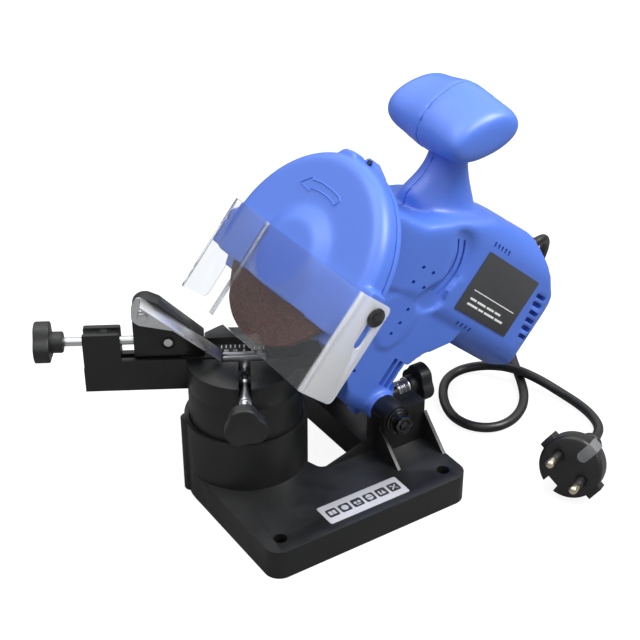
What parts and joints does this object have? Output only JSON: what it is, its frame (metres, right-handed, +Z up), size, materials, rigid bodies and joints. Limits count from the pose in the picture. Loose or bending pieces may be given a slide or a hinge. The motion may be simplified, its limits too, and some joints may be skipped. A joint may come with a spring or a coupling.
{
  "type": "electric chainsaw sharpener",
  "caption": "Bench-mounted electric chain sharpener: black base and turning chain vise, blue tilting grinding head with guarded wheel, clear visor, T grip, mains cord and plug",
  "frame": {"origin": "midway between the two bench bolt holes, on the bottom face of the base", "axes": "+X along the two bolt holes towards the motor side, +Y to the back, +Z up"},
  "size_m": [0.3366, 0.208, 0.2147],
  "materials": {
    "black_cast": "satin, moulded",
    "black_plastic": "satin",
    "blue_plastic": "satin",
    "zinc": "zinc plated",
    "steel": "machined",
    "dark_steel": "laminated",
    "copper": "bare",
    "clear": "clear sheet",
    "abrasive": "gritty, resin bonded",
    "sticker": "silver film",
    "label": "dark film",
    "rubber": "smooth"
  },
  "bodies": {
    "base": {"base_casting": "black_cast", "icon_plate": "sticker", "depth_spring": "zinc", "hinge_bolt": "dark_steel", "hinge_nut": "dark_steel", "hinge_collar": "dark_steel", "hinge_washers": "dark_steel", "pivot_bolt": "zinc", "pivot_washer": "zinc", "pivot_nut": "zinc", "cord": "rubber", "plug_body": "rubber", "plug_pins": "zinc"},
    "head": {"housing_near": "blue_plastic", "housing_far": "blue_plastic", "housing_screws": "dark_steel", "label_plate": "label", "hinge_bushes": "copper", "guard_cover": "blue_plastic", "guard_back": "blue_plastic", "guard_screw": "dark_steel", "visor_screws": "dark_steel", "spindle_bearing_front": "steel", "spindle_bearing_rear": "steel", "motor_bearing_front": "steel", "motor_bearing_rear": "steel", "stator": "dark_steel", "carbon_brushes": "label", "switch_body": "black_plastic", "cord_gland": "rubber"},
    "visor": {"visor": "clear"},
    "spindle_set": {"grinding_wheel": "abrasive", "wheel_bush": "steel", "inner_flange": "steel", "outer_flange": "steel", "wheel_nut": "steel", "spindle": "steel", "drive_gear": "steel"},
    "rotor": {"armature": "dark_steel", "commutator": "copper", "cooling_fan": "black_plastic"},
    "rocker": {"switch_rocker": "black_plastic"},
    "vise": {"turret_barrel": "black_cast", "vise_body": "black_cast", "angle_scale": "sticker", "fixed_rail": "zinc", "clamp_nut": "dark_steel", "advance_nut": "zinc"},
    "jaw": {"moving_rail": "zinc"},
    "clamp": {"clamp_screw": "zinc", "clamp_knob": "black_plastic"},
    "carrier": {"stop_carrier": "black_cast", "carrier_screw": "zinc", "pawl_pivot": "zinc"},
    "advance": {"advance_screw": "zinc", "advance_knob": "black_plastic"},
    "pawl": {"stop_pawl": "zinc"},
    "depth_turn": {"depth_screw": "zinc", "depth_knob": "black_plastic"},
    "depth_slide": {"depth_washer": "zinc"}
  },
  "joints": [
    {"name": "head_tilt", "type": "hinge", "parent": "base", "child": "head", "pos_m": [0.041, 0.0747, 0.042], "axis": [0, 1, 0], "range_deg": [-1.8, 0]},
    {"name": "wheel_spin", "type": "hinge", "parent": "head", "child": "spindle_set", "pos_m": [0.0063, 0.0747, 0.13443], "axis": [0.766, 0, -0.6428], "continuous": true},
    {"name": "rotor_spin", "type": "hinge", "parent": "head", "child": "rotor", "pos_m": [0.10999, 0.0747, 0.09311], "axis": [0.766, 0, -0.6428], "continuous": true},
    {"name": "visor_slide", "type": "slide", "parent": "head", "child": "visor", "axis": [0.6428, 0, 0.766], "range_m": [0, 0.017]},
    {"name": "switch_rock", "type": "hinge", "parent": "head", "child": "rocker", "pos_m": [0.1524, 0.1037, 0.08298], "axis": [0.6428, 0, 0.766], "range_deg": [-8, 0]},
    {"name": "vise_turn", "type": "hinge", "parent": "base", "child": "vise", "pos_m": [-0.0305, 0.0747, 0.0223], "axis": [0, 0, 1], "range_deg": [-5, 65]},
    {"name": "jaw_slide", "type": "slide", "parent": "vise", "child": "jaw", "axis": [0.5, 0.866, 0], "range_m": [-0.0004, 0.001]},
    {"name": "clamp_turn", "type": "hinge", "parent": "jaw", "child": "clamp", "pos_m": [-0.0555, 0.0314, 0.0775], "axis": [0.5, 0.866, 0], "range_deg": [-185, 455]},
    {"name": "carrier_slide", "type": "slide", "parent": "vise", "child": "carrier", "axis": [0.866, -0.5, 0], "range_m": [-0.007, 0.008]},
    {"name": "advance_turn", "type": "hinge", "parent": "carrier", "child": "advance", "pos_m": [-0.12206, 0.13611, 0.0928], "axis": [0.866, -0.5, 0], "range_deg": [-3155, 3605]},
    {"name": "pawl_tilt", "type": "hinge", "parent": "carrier", "child": "pawl", "pos_m": [-0.07644, 0.10434, 0.111], "axis": [-0.5, -0.866, 0], "range_deg": [0, 10]},
    {"name": "depth_slide", "type": "slide", "parent": "base", "child": "depth_slide", "axis": [1, 0, 0], "range_m": [0, 0.003]},
    {"name": "depth_turn", "type": "hinge", "parent": "depth_slide", "child": "depth_turn", "pos_m": [0.085, 0.065, 0.031], "axis": [1, 0, 0], "range_deg": [-5, 1355]}
  ],
  "couplings": [
    {"joint": "rotor_spin", "follows": "wheel_spin", "ratio": -1.9167},
    {"joint": "clamp_turn", "follows": "jaw_slide", "rad_per_m": 7854},
    {"joint": "advance_turn", "follows": "carrier_slide", "rad_per_m": 7854},
    {"joint": "depth_turn", "follows": "depth_slide", "rad_per_m": 7854}
  ]
}
